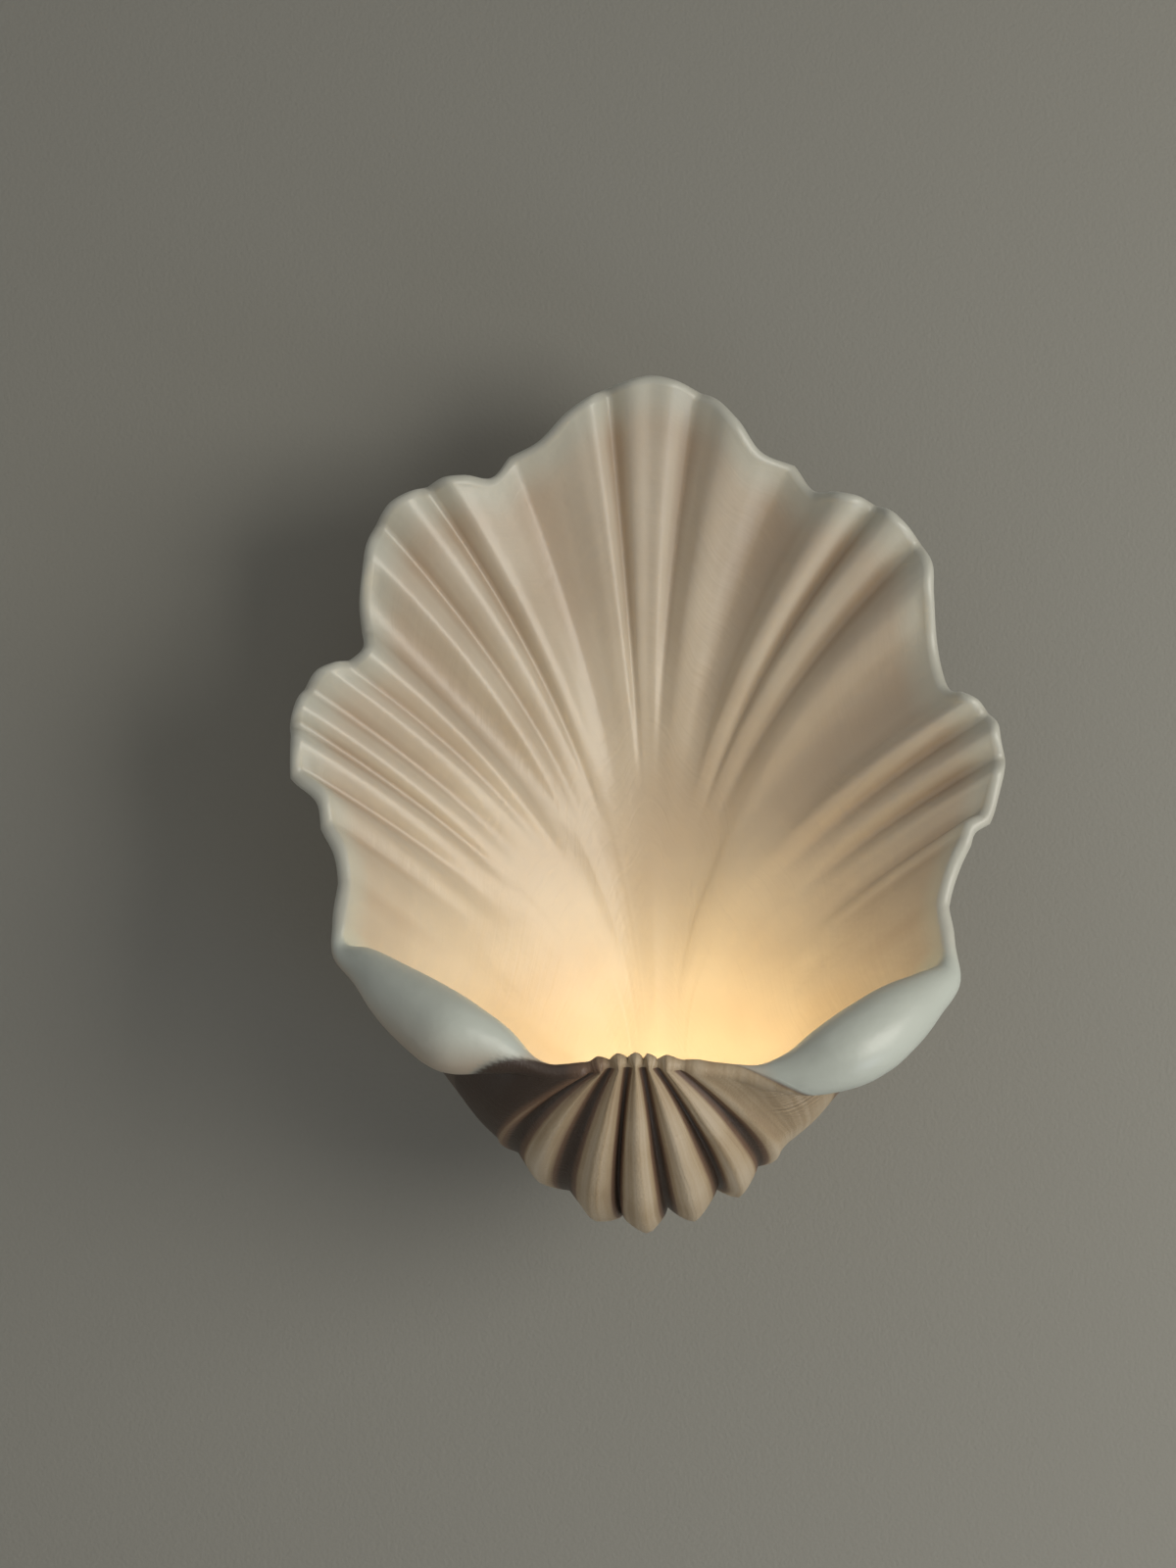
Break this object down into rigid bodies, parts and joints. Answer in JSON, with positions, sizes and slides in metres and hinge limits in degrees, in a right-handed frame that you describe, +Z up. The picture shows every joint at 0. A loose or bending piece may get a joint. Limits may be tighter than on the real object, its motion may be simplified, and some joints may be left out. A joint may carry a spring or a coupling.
{
  "type": "shell wall sconce",
  "caption": "Fluted clam-shell bowl with a rolled front lip and a ribbed beak, hung on a steel wall plate, with a small capsule lamp hidden low inside it.",
  "frame": {"origin": "middle of the wall plate's screw pattern, on the face that lies on the wall", "axes": "+Z up, +X to the right as seen from the room, +Y into the wall"},
  "size_m": [0.3303, 0.195, 0.4006],
  "materials": {
    "glazed_shell": "cream satin glaze inside, brown-washed relief underneath",
    "brass": "turned",
    "zinc_steel": "zinc plated sheet",
    "steel_screws": "bright zinc",
    "black_rubber": "moulded",
    "brass_knob": "knurled",
    "fibre": "vulcanised fibre sheet",
    "porcelain": "unglazed porcelain",
    "contact_nickel": "nickel plated",
    "lamp_glass": "clear quartz",
    "filament_glow": "tungsten coil, lit",
    "block_plastic": "moulded polyamide",
    "brown_sleeve": "silicone sleeve",
    "blue_sleeve": "silicone sleeve",
    "green_sleeve": "green and yellow sleeve"
  },
  "bodies": {
    "wall_unit": {"wall_plate": "zinc_steel", "cable_grommet": "black_rubber", "terminal_block": "block_plastic", "terminal_tubes": "brass", "terminal_screws": "steel_screws", "block_screws": "steel_screws", "earth_stud": "brass", "earth_washer": "steel_screws", "earth_ring": "contact_nickel", "earth_nut": "brass", "earth_lead": "green_sleeve"},
    "shell_unit": {"shell": "glazed_shell", "screw_inserts": "brass", "hanger_plate": "zinc_steel", "hanger_screws": "steel_screws", "lower_bracket": "zinc_steel", "bracket_pad": "black_rubber", "lock_nut": "steel_screws", "nipple": "brass", "nipple_nuts": "brass", "fibre_washers": "fibre", "holder_saddle": "zinc_steel", "lampholder": "porcelain", "saddle_screws": "steel_screws", "contact_clips": "contact_nickel", "lead_live": "brown_sleeve", "lead_neutral": "blue_sleeve"},
    "capsule_lamp": {"bulb_glass": "lamp_glass", "bulb_pins": "contact_nickel", "filament": "filament_glow"},
    "lock_screw_body": {"lock_screw": "brass_knob"}
  },
  "joints": [
    {"name": "shell_lift", "type": "slide", "parent": "wall_unit", "child": "shell_unit", "axis": [0, 0, 1], "range_m": [0, 0.01], "deforming": ["lead_live", "lead_neutral"]},
    {"name": "bulb_pull", "type": "slide", "parent": "shell_unit", "child": "capsule_lamp", "axis": [0, -1, 0], "range_m": [0, 0.012]},
    {"name": "lock_screw_release", "type": "slide", "parent": "wall_unit", "child": "lock_screw_body", "axis": [0, 0, -1], "range_m": [0, 0.01]}
  ]
}
